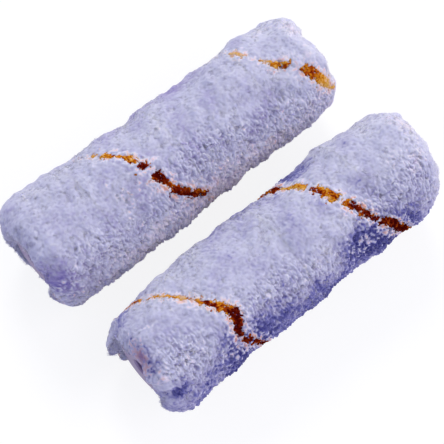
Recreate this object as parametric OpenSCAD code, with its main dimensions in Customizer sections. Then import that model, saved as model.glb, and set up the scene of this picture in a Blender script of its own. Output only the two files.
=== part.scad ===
// Twin pack of mini paint roller sleeves: two identical refill covers that lie side by side.
// Each sleeve is a plastic core tube with a press-in bush at each end, and a strip of pile
// cloth wound round the tube in a helix and stuck down with a film of hot-melt glue.
// X runs along the sleeves, Z is up, and the sleeves rest on Z = 0.

/* [Core tube] */
// Length of the core tube
core_len = 100; // [80:1:120]
// Outside diameter of the core tube
core_od = 17; // [16:0.5:19]
// Wall of the core tube
core_wall = 1; // [0.8:0.1:1.5]
// Bevel inside each mouth of the core tube
core_bevel = 0.3; // [0.2:0.1:0.5]

/* [Wound pile cloth] */
// Outside diameter over the pile
pile_od = 34.2; // [31:0.2:40]
// How far the pile stands past each end of the core tube
pile_overhang = 3; // [2.5:0.5:4]
// Radius that rounds the outer edge of the pile at each end
pile_round = 6.5; // [4:0.5:7]
// How much the mouth in the pile widens from the core to the end of the pile
mouth_flare = 1.2; // [0.5:0.1:1.3]
// Advance of the wound strip per turn
wind_pitch = 51.5; // [45:0.5:60]
// Thickness of the knitted backing cloth
backing_t = 0.6; // [0.4:0.1:0.8]
// Gap at the butt seam of the backing cloth, along the sleeve
seam_gap = 0.4; // [0.3:0.1:0.8]
// Thickness of the film of hot-melt glue
film_t = 0.2; // [0.1:0.1:0.3]

/* [Pile relief] */
// Share of the pile's soft lumps and dents that is made
relief_share = 1; // [0:0.25:1]
// Length at each mouth over which the pile there is pushed back or stands out
push_len = 12; // [10:1:15]

/* [Gold stripe] */
// Width of the gold stripe along the sleeve
stripe_w = 4; // [3:0.5:6]
// Where the stripe crosses the top of the rear sleeve, from the sleeve's middle
rear_stripe_x = -13.5; // [-25:0.5:25]
// Where the stripe crosses the top of the front sleeve, from the sleeve's middle
front_stripe_x = -31; // [-40:0.5:25]

/* [End bushes] */
// Diameter of the bore that turns on the wire of the roller frame
wire_bore = 6.2; // [5.2:0.1:8.2]
// Wall of the hub round that bore
hub_wall = 1.2; // [1:0.1:1.4]
// Length of the hub
hub_len = 14; // [10:0.5:20]
// Lead-in bevel at both mouths of the bore
bore_bevel = 0.5; // [0.3:0.1:0.6]
// Length of the barrel that is pressed into the core tube
barrel_len = 10; // [6:0.5:10]
// Wall of the barrel
barrel_wall = 1; // [0.8:0.1:1.2]
// Thickness of the flange that stops against the end of the core tube
flange_t = 1; // [0.8:0.1:1.5]
// Number of spokes between the hub and the barrel
spoke_count = 6; // [3:1:8]
// Thickness of a spoke
spoke_t = 1; // [0.8:0.1:1.4]

/* [Layout] */
// Distance between the axes of the two sleeves
sleeve_spacing = 45; // [42:0.5:60]
// How far the front sleeve lies along X past the rear one
front_shift = 2.5; // [0:0.5:10]
// How far the pair is moved along X, so that the origin is under its middle
pair_x = -0.07; // [-1:0.01:1]
// How far the pair is moved along Y, so that the origin is under its middle
pair_y = -0.78; // [-1:0.01:1]

/* [Hidden] */
$fn = 96;

core_r = core_od / 2;
core_bore_r = core_r - core_wall;
core_half = core_len / 2;
film_r = core_r + film_t;
backing_r = film_r + backing_t;
pile_r = pile_od / 2;
pile_half = core_half + pile_overhang;

bore_r = wire_bore / 2;
hub_r = bore_r + hub_wall;
grip_h = 0.1;          // height of the rings that hold the barrel in the tube
grip_w = 1;            // width of one such ring
grip_inset = 1.5;      // from each end of the barrel to its ring

stripe_gap = 0.1;      // between the gold yarn and the white pile on each side
stripe_dip = 0.6;      // how far the gold yarn lies below the white pile
winding_step = 10;     // degrees between two rings of a wound band
cut = 1;               // how far a cutting shape runs past what it cuts
joint_lap = 0.2;       // how far a spoke runs into the walls at its ends

pile_sides = 24;       // points round a ring of the pile
pile_steps = 16;       // rings between the two rounded shoulders
round_steps = 3;       // rings over one rounded shoulder
highest = 4;           // more than the pile stands out anywhere

// The pile's soft lumps: waves round the sleeve, length of a wave along it, phase in degrees,
// height. Angles run from +Y over the top.
rear_lumps = [[1, 38, 40, 0.25], [2, 27, 200, 0.2], [3, 45, 320, 0.2], [4, -33, 110, 0.15],
    [2, -52, 75, 0.2]];
front_lumps = [[1, 41, 210, 0.25], [2, 30, 20, 0.2], [3, -36, 150, 0.2], [4, 47, 280, 0.15],
    [2, -60, 330, 0.2]];

// Where the pile stands out or is pressed in: place along the sleeve from its middle, angle,
// reach along the sleeve, reach in degrees, height.
rear_bumps = [[-40, 20, 14, 65, 1.2], [-31, 20, 10, 65, 1.2], [-6, 20, 9, 65, -1.2],
    [10, 20, 12, 65, -0.7], [28, 20, 11, 65, -1.5], [45, 20, 9, 65, -1.5],
    [-50, 200, 9, 65, 0.9], [-33, 200, 11, 65, 0.9], [-6, 200, 13, 65, 1.6],
    [17, 200, 8, 65, -1.0], [38, 200, 10, 65, 0.5]];
front_bumps = [[-49, 20, 13, 65, -2.0], [-20, 20, 13, 65, 1.2], [1, 20, 8, 65, 0.5],
    [32, 20, 13, 65, 1.7], [51, 20, 8, 65, -0.6], [-37, 200, 8, 65, -1.1],
    [-22, 200, 8, 65, -0.8], [-4, 200, 11, 65, -1.7], [8, 200, 8, 65, -1.1],
    [20, 200, 8, 65, -0.8], [32, 200, 9, 65, -1.5], [50, 200, 9, 65, -2.0]];

// Where the pile at a mouth is pushed back or, below 0, stands out: end, -1 near or 1 far,
// angle, reach in degrees, how far.
rear_pushed = [[-1, 277, 40, 2.6], [-1, 290, 60, 0.9], [-1, 252, 25, 1.5],
    [1, 55, 25, -1.2], [1, 95, 20, 1.4], [1, 118, 20, 0.5]];
front_pushed = [[-1, 285, 60, 3.6], [-1, 242, 45, 3.4], [-1, 308, 18, 0.8],
    [-1, 350, 30, -1.3], [1, 70, 25, -1.0], [1, 132, 25, 0.9]];

rear_relief = [rear_lumps, rear_bumps, rear_pushed];
front_relief = [front_lumps, front_bumps, front_pushed];

pile_white = [0.86, 0.85, 0.95];
gold = [0.72, 0.38, 0.08];
natural_plastic = [0.88, 0.88, 0.86];
bush_plastic = [0.93, 0.93, 0.92];
glue_amber = [0.88, 0.82, 0.62];
cloth_white = [0.80, 0.79, 0.84];

// ---- places -------------------------------------------------------------------

// Lays a shape that stands along Z down along X, at the rear sleeve's place.
module at_rear() {
    translate([pair_x - front_shift / 2, pair_y + sleeve_spacing / 2, pile_r])
        rotate([0, 90, 0])
            children();
}

// The same at the front sleeve's place.
module at_front() {
    translate([pair_x + front_shift / 2, pair_y - sleeve_spacing / 2, pile_r])
        rotate([0, 90, 0])
            children();
}

// Turns a shape end for end, from the far end (+Z) to the near end (-Z).
module at_near_end() {
    rotate([180, 0, 0])
        children();
}

// ---- rigid pieces -------------------------------------------------------------

module ring(outer_r, inner_r, z0, z1) {
    translate([0, 0, z0])
        difference() {
            cylinder(h = z1 - z0, r = outer_r);
            translate([0, 0, -cut])
                cylinder(h = z1 - z0 + 2 * cut, r = inner_r);
        }
}

// Cone that bevels a hole of radius hole_r, whose mouth is at z = 0, to a depth of size.
module mouth_bevel(hole_r, size) {
    translate([0, 0, -size])
        cylinder(h = size + cut, r1 = hole_r, r2 = hole_r + size + cut);
}

module core_tube() {
    difference() {
        ring(core_r, core_bore_r, -core_half, core_half);
        for (flip = [0, 180])
            rotate([flip, 0, 0])
                translate([0, 0, core_half])
                    mouth_bevel(core_bore_r, core_bevel);
    }
}

module spokes() {
    for (i = [0 : spoke_count - 1])
        rotate([0, 0, i * 360 / spoke_count])
            translate([hub_r - joint_lap, -spoke_t / 2, -barrel_len])
                cube([core_bore_r - grip_h - barrel_wall - hub_r + 2 * joint_lap,
                    spoke_t, barrel_len]);
}

// Bush with its flange on z = 0 to flange_t and its barrel and hub below.
module bush() {
    barrel_r = core_bore_r - grip_h;
    difference() {
        union() {
            ring(core_r, hub_r - joint_lap, 0, flange_t);
            ring(barrel_r, barrel_r - barrel_wall, -barrel_len, 0);
            for (z = [-barrel_len + grip_inset, -grip_inset])
                ring(core_bore_r, barrel_r - barrel_wall, z - grip_w / 2, z + grip_w / 2);
            translate([0, 0, flange_t - hub_len])
                cylinder(h = hub_len, r = hub_r);
            spokes();
        }
        translate([0, 0, flange_t - hub_len - cut])
            cylinder(h = hub_len + 2 * cut, r = bore_r);
        translate([0, 0, flange_t])
            mouth_bevel(bore_r, bore_bevel);
        translate([0, 0, flange_t - hub_len])
            rotate([180, 0, 0])
                mouth_bevel(bore_r, bore_bevel);
    }
}

module far_bush() {
    translate([0, 0, core_half])
        bush();
}

module near_bush() {
    at_near_end()
        far_bush();
}

module glue_film() {
    ring(film_r, core_r, -core_half, core_half);
}

// ---- wound cloth --------------------------------------------------------------

// Corners of a wound band's section at one angle, from the inside out and back.
function band_ring(angle, z, w, r0, r1) = [
    for (c = [[r0, -w / 2], [r1, -w / 2], [r1, w / 2], [r0, w / 2]])
        [c[0] * cos(angle), c[0] * sin(angle), z + c[1]]
];

// A band of width w along the sleeve, wound right-handed between two radii. It crosses the
// top of the sleeve at z = top_z and runs past both ends of the sleeve.
module wound_band(top_z, w, r0, r1) {
    top = 180;
    reach = pile_half + w;
    step_z = wind_pitch * winding_step / 360;
    first = floor((-reach - top_z) / step_z);
    last = ceil((reach - top_z) / step_z);
    count = last - first + 1;
    points = [
        for (i = [first : last])
            each band_ring(top + i * winding_step, top_z + i * step_z, w, r0, r1)
    ];
    sides = [
        for (i = [0 : count - 2])
            for (j = [0 : 3])
                let (a = 4 * i + j, b = 4 * i + (j + 1) % 4)
                    each [[a, b, b + 4], [a, b + 4, a + 4]]
    ];
    end = 4 * (count - 1);
    caps = [[0, 3, 2], [0, 2, 1], [end, end + 1, end + 2], [end, end + 2, end + 3]];
    polyhedron(points = points, faces = concat(sides, caps));
}

// ---- pile ---------------------------------------------------------------------

function total(list) = list * [for (v = list) 1];

function turned(a) = let (b = a % 360) b > 180 ? b - 360 : b < -180 ? b + 360 : b;

// 1 in the middle of a place, 0 from its reach on.
function window(x) = abs(x) < 1 ? (1 + cos(180 * x)) / 2 : 0;

function smooth(x) = let (c = min(max(x, 0), 1)) c * c * (3 - 2 * c);

// Height of the pile's relief at z and angle a.
function height(relief, z, a) = relief_share * (
    total([for (w = relief[0]) w[3] * cos(w[0] * a + 360 * z / w[1] + w[2])])
    + total([for (b = relief[1])
        b[4] * window((z - b[0]) / b[2]) * window(turned(a - b[1]) / b[3])]));

// How far the pile is moved along the sleeve there.
function push(relief, z, a) = relief_share *
    total([for (q = relief[2])
        -q[0] * q[3] * smooth((push_len + z * q[0] - pile_half) / push_len)
        * window(turned(a - q[1]) / q[2])]);

// Rings of the pile from the near end to the far end: z, radius, and the outward direction.
function half_stations(end) = [
    for (i = [0 : round_steps])
        let (t = 90 * i / round_steps)
            [end * (pile_half - pile_round + pile_round * cos(t)),
                pile_r - pile_round + pile_round * sin(t), end * cos(t), sin(t)]
];

function stations() = let (near = half_stations(-1), far = half_stations(1)) concat(
    near,
    [for (i = [1 : pile_steps - 1])
        [(pile_half - pile_round) * (2 * i / pile_steps - 1), pile_r, 0, 1]],
    [for (i = [round_steps : -1 : 0]) far[i]]);

// A point of the pile on ring q at angle a, sunk below the relief, and never below the floor.
function pile_point(relief, q, a, sunk) =
    let (up = height(relief, q[0], a) - sunk, r = q[1] + q[3] * up)
        [min(-r * sin(a), pile_r - sunk), r * cos(a),
            q[0] + q[2] * up + push(relief, q[0], a)];

// Outer shape of the pile, closed across its mouths.
module pile_outside(relief, sunk) {
    rings = stations();
    n = pile_sides;
    last = n * (len(rings) - 1);
    points = concat(
        [for (q = rings) for (j = [0 : n - 1]) pile_point(relief, q, j * 360 / n, sunk)],
        [[0, 0, -pile_half + sunk], [0, 0, pile_half - sunk]]);
    near_middle = len(rings) * n;
    sides = [
        for (i = [0 : len(rings) - 2])
            for (j = [0 : n - 1])
                let (a = i * n + j, b = i * n + (j + 1) % n)
                    each [[a, a + n, b + n], [a, b + n, b]]
    ];
    mouths = [
        for (j = [0 : n - 1])
            let (k = (j + 1) % n)
                each [[near_middle, j, k], [near_middle + 1, last + k, last + j]]
    ];
    polyhedron(points = points, faces = concat(sides, mouths));
}

module pile_body(relief, sunk) {
    difference() {
        pile_outside(relief, sunk);
        translate([0, 0, -pile_half - highest])
            cylinder(h = 2 * (pile_half + highest), r = backing_r);
        for (flip = [0, 180])
            rotate([flip, 0, 0])
                translate([0, 0, core_half])
                    cylinder(h = pile_overhang + highest, r1 = backing_r,
                        r2 = backing_r + mouth_flare * (1 + highest / pile_overhang));
    }
}

module backing_cloth(top_z) {
    difference() {
        ring(backing_r, film_r, -core_half, core_half);
        wound_band(top_z - stripe_w / 2, seam_gap, film_r - cut, backing_r + cut);
    }
}

module white_pile(relief, top_z) {
    difference() {
        pile_body(relief, 0);
        wound_band(top_z, stripe_w + 2 * stripe_gap, backing_r - cut, pile_r + highest);
    }
}

module gold_stripe(relief, top_z) {
    intersection() {
        pile_body(relief, stripe_dip);
        wound_band(top_z, stripe_w, backing_r - cut, pile_r + highest);
    }
}

// ---- nodes --------------------------------------------------------------------

module rear_core_tube() { color(natural_plastic) at_rear() core_tube(); }
module rear_near_bush() { color(bush_plastic) at_rear() near_bush(); }
module rear_far_bush() { color(bush_plastic) at_rear() far_bush(); }
module rear_glue_film() { color(glue_amber) at_rear() glue_film(); }
module rear_backing_cloth() { color(cloth_white) at_rear() backing_cloth(rear_stripe_x); }
module rear_white_pile() { color(pile_white) at_rear() white_pile(rear_relief, rear_stripe_x); }
module rear_gold_stripe() { color(gold) at_rear() gold_stripe(rear_relief, rear_stripe_x); }

module front_core_tube() { color(natural_plastic) at_front() core_tube(); }
module front_near_bush() { color(bush_plastic) at_front() near_bush(); }
module front_far_bush() { color(bush_plastic) at_front() far_bush(); }
module front_glue_film() { color(glue_amber) at_front() glue_film(); }
module front_backing_cloth() { color(cloth_white) at_front() backing_cloth(front_stripe_x); }
module front_white_pile() { color(pile_white) at_front() white_pile(front_relief, front_stripe_x); }
module front_gold_stripe() { color(gold) at_front() gold_stripe(front_relief, front_stripe_x); }

rear_core_tube();
rear_near_bush();
rear_far_bush();
rear_glue_film();
rear_backing_cloth();
rear_white_pile();
rear_gold_stripe();
front_core_tube();
front_near_bush();
front_far_bush();
front_glue_film();
front_backing_cloth();
front_white_pile();
front_gold_stripe();
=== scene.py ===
from math import atan2, cos, hypot, pi, radians, sin, sqrt

import bpy
import numpy as np
from mathutils import Matrix, Vector
from mathutils.bvhtree import BVHTree


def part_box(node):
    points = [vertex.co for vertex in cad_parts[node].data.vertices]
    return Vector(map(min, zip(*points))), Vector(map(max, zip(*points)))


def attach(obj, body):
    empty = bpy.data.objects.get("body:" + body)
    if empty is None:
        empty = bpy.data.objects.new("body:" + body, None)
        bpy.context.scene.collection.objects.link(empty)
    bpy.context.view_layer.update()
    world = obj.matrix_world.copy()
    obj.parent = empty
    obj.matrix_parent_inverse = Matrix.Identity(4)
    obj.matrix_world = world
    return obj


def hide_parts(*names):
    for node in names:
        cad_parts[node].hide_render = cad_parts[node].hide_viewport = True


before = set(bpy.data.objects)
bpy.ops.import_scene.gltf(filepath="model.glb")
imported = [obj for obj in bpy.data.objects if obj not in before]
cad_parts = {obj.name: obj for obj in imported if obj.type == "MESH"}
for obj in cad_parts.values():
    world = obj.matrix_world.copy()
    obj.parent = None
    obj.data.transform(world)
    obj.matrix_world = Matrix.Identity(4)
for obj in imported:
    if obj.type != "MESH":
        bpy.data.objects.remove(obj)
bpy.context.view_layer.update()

MM = 0.001
TURN = 2 * pi
SIDES = ("rear", "front")

# ---- image points, in the photograph's 444 x 444 frame

W = H = 444
EDGES = {"left": 1.0, "right": 443.0, "top": 17.0, "bottom": 411.0}
# Middle of the gold stripe, in order along its helix from the near end to the far end
STRIPE_POINTS = {
    "rear": {
        "rear_stripe_a": (92, 157), "rear_stripe_b": (128, 158), "rear_stripe_c": (176, 189),
        "rear_stripe_d": (203, 193), "rear_stripe_e": (241, 55), "rear_stripe_f": (281, 65),
        "rear_stripe_g": (303, 67), "rear_stripe_h": (326, 82),
    },
    "front": {
        "front_stripe_a": (143, 301), "front_stripe_b": (172, 296), "front_stripe_c": (234, 310),
        "front_stripe_d": (240, 334), "front_stripe_e": (290, 188), "front_stripe_f": (335, 196),
        "front_stripe_g": (374, 218), "front_stripe_h": (393, 222),
    },
}

# ---- camera

LENS, SENSOR = 146.0, 36.0
CAMERA_TILT = radians(65.96)
CAMERA_HEADING = radians(40.70)
CAMERA_DISTANCE = 0.5231
CAMERA_AIM = np.array([-0.00327, -0.00378, 0.0171])
CAMERA_CLIP = (0.01, 20.0)
RAY_SEARCH = 60  # steps of 1 mm before and behind the aim, for a ray that misses
FOCAL_PX = LENS / SENSOR * max(W, H)


def camera_axes():
    """The camera's right, up and forward axes. Heading 0 looks along +Y and turns towards +X."""
    flat = cos(CAMERA_TILT)
    forward = np.array([sin(CAMERA_HEADING) * flat, cos(CAMERA_HEADING) * flat,
                        -sin(CAMERA_TILT)])
    right = np.array([cos(CAMERA_HEADING), -sin(CAMERA_HEADING), 0.0])
    return right, np.cross(right, forward), forward


RIGHT, UP, FORWARD = camera_axes()
CAMERA_AT = CAMERA_AIM - FORWARD * CAMERA_DISTANCE


def new_object(name, data):
    made = bpy.data.objects.new(name, data)
    bpy.context.scene.collection.objects.link(made)
    return made


def make_camera():
    data = bpy.data.cameras.new("camera")
    data.lens = LENS
    data.sensor_width = SENSOR
    data.sensor_fit = "AUTO"
    data.clip_start, data.clip_end = CAMERA_CLIP
    camera = new_object("camera", data)
    axes = Matrix([RIGHT, UP, -FORWARD]).transposed().to_4x4()
    camera.matrix_world = Matrix.Translation(CAMERA_AT) @ axes
    bpy.context.scene.camera = camera


def to_image(points):
    """Image x and y of an array of points."""
    away = points - CAMERA_AT
    depth = away @ FORWARD
    return np.stack([W / 2 + FOCAL_PX * (away @ RIGHT) / depth,
                     H / 2 - FOCAL_PX * (away @ UP) / depth], axis=-1)


def on_surface(tree, x, y):
    """Where the ray through an image point meets the surface in a BVHTree, or comes nearest."""
    ray = Vector(RIGHT * (x - W / 2) + UP * (H / 2 - y) + FORWARD * FOCAL_PX).normalized()
    start = Vector(CAMERA_AT)
    hit = tree.ray_cast(start, ray)[0]
    if hit is None:
        best = min((tree.find_nearest(start + ray * (CAMERA_DISTANCE + step * MM))
                    for step in range(-RAY_SEARCH, RAY_SEARCH + 1)), key=lambda found: found[3])
        hit = best[0]
    return np.array(hit)


# ---- mesh helpers

def new_piece(name, points, faces, uvs=None):
    """An object from an array of points and arrays of faces, each with 3 or 4 corners."""
    mesh = bpy.data.meshes.new(name)
    sizes = np.concatenate([np.full(len(f), f.shape[1]) for f in faces])
    loops = np.concatenate([f.ravel() for f in faces])
    starts = np.concatenate([[0], np.cumsum(sizes)[:-1]])
    mesh.vertices.add(len(points))
    mesh.vertices.foreach_set("co", np.asarray(points, np.float32).ravel())
    mesh.loops.add(len(loops))
    mesh.loops.foreach_set("vertex_index", loops.astype(np.int32))
    mesh.polygons.add(len(sizes))
    mesh.polygons.foreach_set("loop_start", starts.astype(np.int32))
    mesh.polygons.foreach_set("use_smooth", np.full(len(sizes), True))
    if uvs is not None:
        layer = mesh.uv_layers.new(name="OFBake")
        layer.data.foreach_set("uv", np.asarray(uvs, np.float32)[loops].ravel())
    mesh.update(calc_edges=True)
    mesh.validate()
    return new_object(name, mesh)


def grid_faces(rings, around, closed_along=False):
    """Quads of a grid of rings that each close on themselves, and of a torus if closed_along."""
    i = np.arange(rings if closed_along else rings - 1)[:, None]
    j = np.arange(around)[None, :]
    k = (i + 1) % rings
    l = (j + 1) % around
    return np.stack([i * around + j, i * around + l, k * around + l, k * around + j],
                    axis=-1).reshape(-1, 4)


def smoothstep(x):
    x = np.clip(x, 0, 1)
    return x * x * (3 - 2 * x)


def blend(a, b, share):
    return a + (b - a) * share


NOISE_RADIUS = 16 * MM  # where waves round the sleeve are as long as those along it
# Seeds of the noises and draws; those of a sleeve's own add 0 or 1.
SEED = {"curds": 23, "humps": 29, "matting": 71, "edge": 83, "tone": 47, "gold": 61, "lean": 31,
        "tufts": 53, "draws": 100}


class Waves:
    """Smooth noise on a sleeve, of about unit height: a sum of waves that close round it.
    Its patches are stretched round the sleeve by a factor."""

    def __init__(self, seed, size, terms=28, stretch=1.0):
        rng = np.random.default_rng(seed)
        spread = 1.0 / size
        self.along = rng.normal(0, spread, terms)
        self.around = np.round(rng.normal(0, spread * NOISE_RADIUS / stretch, terms))
        self.phase = rng.uniform(0, TURN, terms)
        self.scale = sqrt(2.0 / terms)

    def __call__(self, p, angle):
        total = 0
        for a, m, phase in zip(self.along, self.around, self.phase):
            total = total + np.cos(a * p + m * angle + phase)
        return total * self.scale


# ---- the shape of a sleeve

PILE_ROUND = 6.5 * MM  # rounds the pile's outer edge, as in the CAD
NAP = 1.7 * MM  # from the outside of the pile down to where its fibres start
SOFT_NAP = 0.5  # share of that where the pile is soft and even
HUMP = 0.25 * MM  # height of the small humps all over the pile
HUMP_SIZE = 1.9 * MM
MATTED_CURD = 0.50 * MM  # height of the curds where the pile is matted
CURD_SIZE = 0.5 * MM
CURD_STRETCH = 2.0  # how much longer the curds are round the sleeve
CURD_TOP = 1.2  # height of the noise at which a curd is full
CURD_MEAN = 0.45  # mean height of the curds, which leaves the pile as thick as it is
WIND_PITCH = 51.5 * MM  # advance of the wound strip per turn, as in the CAD
STRIPE_TOP = {"rear": -13.5 * MM, "front": -31 * MM}
TOP = pi / 2  # the angle of the top of a sleeve, from +Y towards +Z
OVERHANG = 3 * MM  # of the pile past the core, as in the CAD
FLOOR_GAP = 0.1 * MM
LEAST_RADIUS = 2 * MM
ARC_POINTS = 17  # of the section on each rounded edge
SECTION_POINTS = 1200  # of the section in all
TAPER = 25  # of those that its normals are smoothed over

# The pile's soft lumps, as in the CAD: waves round the sleeve, length of a wave along it (mm),
# phase (degrees), height (mm).
LUMPS = {
    "rear": [(1, 38, 40, 0.25), (2, 27, 200, 0.2), (3, 45, 320, 0.2), (4, -33, 110, 0.15),
        (2, -52, 75, 0.2)],
    "front": [(1, 41, 210, 0.25), (2, 30, 20, 0.2), (3, -36, 150, 0.2), (4, 47, 280, 0.15),
        (2, -60, 330, 0.2)],
}
# Places where the pile stands out or is pressed in, as in the CAD: along the sleeve from its
# middle (mm), angle (degrees), reach along (mm), reach round (degrees), height (mm).
BUMPS = {
    "rear": [(-40, 20, 14, 65, 1.2), (-31, 20, 10, 65, 1.2), (-6, 20, 9, 65, -1.2),
        (10, 20, 12, 65, -0.7), (28, 20, 11, 65, -1.5), (45, 20, 9, 65, -1.5), (-50, 200, 9, 65, 0.9),
        (-33, 200, 11, 65, 0.9), (-6, 200, 13, 65, 1.6), (17, 200, 8, 65, -1.0),
        (38, 200, 10, 65, 0.5)],
    "front": [(-49, 20, 13, 65, -2.0), (-20, 20, 13, 65, 1.2), (1, 20, 8, 65, 0.5),
        (32, 20, 13, 65, 1.7), (51, 20, 8, 65, -0.6), (-37, 200, 8, 65, -1.1), (-22, 200, 8, 65, -0.8),
        (-4, 200, 11, 65, -1.7), (8, 200, 8, 65, -1.1), (20, 200, 8, 65, -0.8), (32, 200, 9, 65, -1.5),
        (50, 200, 9, 65, -2.0)],
}
# Where the pile at a mouth is pushed back along the sleeve or stands out from it, as in the
# CAD: end (-1 near, 1 far), angle (degrees), reach (degrees), how far back (mm).
PUSHED = {
    "rear": [(-1, 277, 40, 2.6), (-1, 290, 60, 0.9), (-1, 252, 25, 1.5), (1, 55, 25, -1.2),
        (1, 95, 20, 1.4), (1, 118, 20, 0.5)],
    "front": [(-1, 285, 60, 3.6), (-1, 242, 45, 3.4), (-1, 308, 18, 0.8), (-1, 350, 30, -1.3),
        (1, 70, 25, -1.0), (1, 132, 25, 0.9)],
}
PUSH_LENGTH = 12 * MM  # over which that fades along the sleeve
# Small folds, which the CAD leaves out, in the same terms.
FOLDS = {
    "rear": [(-52, 137, 7, 26, -0.5), (-48, 118, 5, 20, 0.7), (-53, 77, 5, 30, -0.5),
        (38, 147, 12, 40, 0.4), (15, 20, 9, 50, -0.9), (0, 20, 6, 40, 0.6), (-50, 200, 8, 50, -0.8),
        (-40, 200, 6, 50, 0.8), (-16, 200, 5, 50, 0.5), (15, 200, 6, 50, -0.8), (32, 200, 5, 50, 0.8)],
    "front": [(-52, 127, 5, 10, 1.2), (-53, 97, 5, 24, -0.7), (-50, 150, 6, 9, -0.8),
        (-49, 168, 9, 12, 0.6), (-7, 20, 8, 40, 0.8), (-32, 20, 6, 40, 0.7), (-47, 20, 5, 40, 0.8),
        (12, 20, 18, 50, -0.4), (-52, 200, 6, 50, -0.8), (-12, 200, 6, 50, -0.6), (7, 200, 4, 50, -0.6),
        (15, 200, 6, 50, -1.1)],
}
# Small unevenness of the mouths' rims, which the CAD leaves out, in the same terms.
RIMS = {
    "rear": [(-1, 240, 22, 2.4), (-1, 268, 10, -1.0), (-1, 316, 28, 0.7), (1, 51, 25, -0.9),
        (1, 155, 15, 0.7), (1, 173, 25, -1.0)],
    "front": [(-1, 347, 25, -0.9), (-1, 328, 9, 1.4), (-1, 317, 7, -1.2), (-1, 308, 8, 1.5),
        (-1, 250, 12, -1.8), (-1, 231, 18, 0.9), (1, 51, 25, -1.1), (1, 42, 12, -1.6),
        (1, 156, 14, 1.2)],
}

# The gold that shows. Each row holds from that place on: place along STRIPE_POINTS (1.5 is
# halfway from the second point to the third), width (mm), tone from 0, dark, to 1, pale. The
# tone is partly the gold's own colour and partly painted shade and light: darker where the
# stripe faces away from the light, paler where it faces it. The first row is a place before
# all others.
STRIPE_LOOK = {
    "rear": [(-9, 0, 0), (-2.6, 2.8, 0.4), (-0.8, 0, 0), (-0.04, 1.3, 0.5), (0.07, 0, 0),
        (0.27, 2.6, 0.5), (0.6, 1.0, 0.65), (0.71, 1.5, 0.45), (1.02, 0.9, 0.5), (1.15, 0, 0),
        (1.23, 2.6, 0.14), (1.39, 0, 0), (1.52, 2.7, 0.1), (1.81, 1.5, 0.14), (1.96, 3.1, 0.08),
        (3.01, 0, 0), (3.14, 2.6, 0.3), (3.8, 0, 0), (3.95, 1.0, 0.8), (4.08, 0, 0), (4.42, 0.6, 0.9),
        (4.72, 1.1, 0.5), (4.81, 2.7, 0.5), (5.3, 0, 0), (5.93, 3.6, 0.56), (6.6, 3.5, 0.64),
        (7.05, 1.8, 0.85), (7.3, 0, 0), (8.2, 2.8, 0.5)],
    "front": [(-9, 0, 0), (-2.2, 2.8, 0.4), (-0.55, 1.0, 0.4), (-0.09, 0.9, 0.65), (0.75, 1.2, 0.6),
        (1.22, 0.9, 0.5), (1.43, 2.1, 0.3), (1.67, 2.5, 0.26), (1.94, 3.0, 0.1), (2.3, 3.0, 0.04),
        (2.83, 2.2, 0.04), (3.015, 0, 0), (3.026, 2.8, 0), (3.055, 0, 0), (3.066, 3.0, 0), (3.1, 0, 0),
        (3.11, 2.4, 0), (3.22, 2.8, 0.3), (3.95, 0.9, 0.5), (3.99, 1.4, 0.62), (4.37, 0.7, 0.8),
        (4.46, 1.8, 0.3), (4.8, 2.7, 0.34), (5.1, 0, 0), (5.22, 2.3, 0.2), (5.82, 1.3, 0.12),
        (5.92, 2.1, 0.05), (6.2, 0, 0), (6.37, 3.4, 0), (7.44, 2.8, 0.1), (8.2, 2.4, 0.3)],
}


def window(x):
    """1 in the middle of a place, 0 from its reach on."""
    return np.where(np.abs(x) < 1, (1 + np.cos(pi * np.minimum(np.abs(x), 1))) / 2, 0)


def turned(angle):
    """An angle difference brought to between -pi and pi."""
    return (angle + pi) % TURN - pi


def patches(table, s, angle):
    """The sum of a table's patches, each of which is highest at its place and fades out."""
    total = 0
    for at_s, at_angle, reach_s, reach_angle, much in table:
        along = window((s / MM - at_s) / reach_s)
        away = turned(angle - radians(at_angle)) / radians(reach_angle)
        total = total + much * along * window(away)
    return total


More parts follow.
